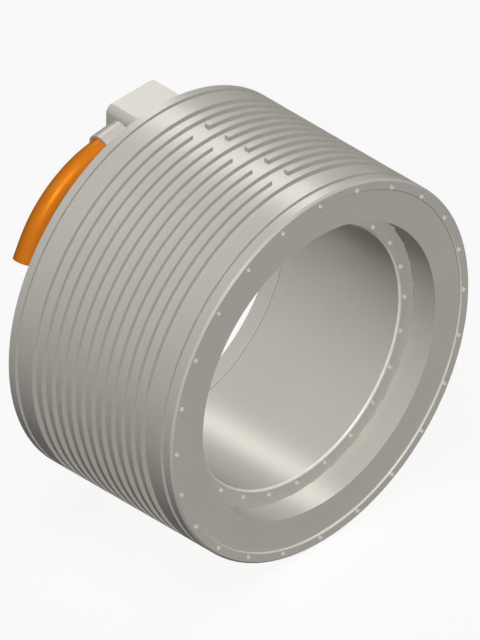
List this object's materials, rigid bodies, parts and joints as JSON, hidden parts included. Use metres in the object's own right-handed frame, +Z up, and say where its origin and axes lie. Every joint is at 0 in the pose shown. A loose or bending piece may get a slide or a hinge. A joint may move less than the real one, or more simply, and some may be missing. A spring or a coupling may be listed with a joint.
{
  "type": "frameless motor",
  "caption": "Frameless ring motor for building in: a water-cooled stator with ribbed cooling channels, a permanent-magnet rotor ring with a large through bore, and a bare-ended power cable.",
  "frame": {"origin": "on the motor axis, in the plane of the stator's front rim", "axes": "+Y along the motor axis from the front rim to the cable outlet, +Z up through the outlet, +X to the right as seen from the front"},
  "size_m": [0.385, 0.2455, 0.385],
  "materials": {
    "jacket_metal": "fine turned",
    "core_steel": "laminated",
    "winding_copper": "enamelled wire",
    "former_plastic": "matte",
    "wedge_plastic": "matte",
    "sensor_plastic": "matte",
    "board_laminate": "satin",
    "cover_metal": "fine turned",
    "lead_copper": "bright",
    "gasket_rubber": "matte",
    "outlet_metal": "milled",
    "screw_steel": "satin",
    "sleeve_metal": "turned",
    "core_insulation": "matte",
    "cable_sheath": "satin",
    "rotor_steel": "fine turned",
    "magnet_plating": "plated",
    "bandage_fibre": "matte"
  },
  "bodies": {
    "stator": {"cooling_jacket": "jacket_metal", "stator_core": "core_steel", "coils_phase_u": "winding_copper", "coils_phase_v": "winding_copper", "coils_phase_w": "winding_copper", "coil_formers": "former_plastic", "slot_wedges": "wedge_plastic", "temperature_sensors": "sensor_plastic", "connection_board": "board_laminate", "front_winding_cover": "cover_metal", "rear_winding_cover": "cover_metal", "phase_lead_u": "lead_copper", "phase_lead_v": "lead_copper", "phase_lead_w": "lead_copper", "outlet_gasket": "gasket_rubber", "outlet_housing": "outlet_metal", "outlet_screws": "screw_steel", "strain_relief_sleeve": "sleeve_metal", "cable_cores": "core_insulation", "power_cable": "cable_sheath"},
    "rotor": {"rotor_ring": "rotor_steel", "magnets_north": "magnet_plating", "magnets_south": "magnet_plating", "magnet_bandage": "bandage_fibre"}
  },
  "joints": [
    {"name": "rotor_spin", "type": "hinge", "parent": "stator", "child": "rotor", "pos_m": [0, 0.105, 0], "axis": [0, 1, 0], "continuous": true}
  ]
}
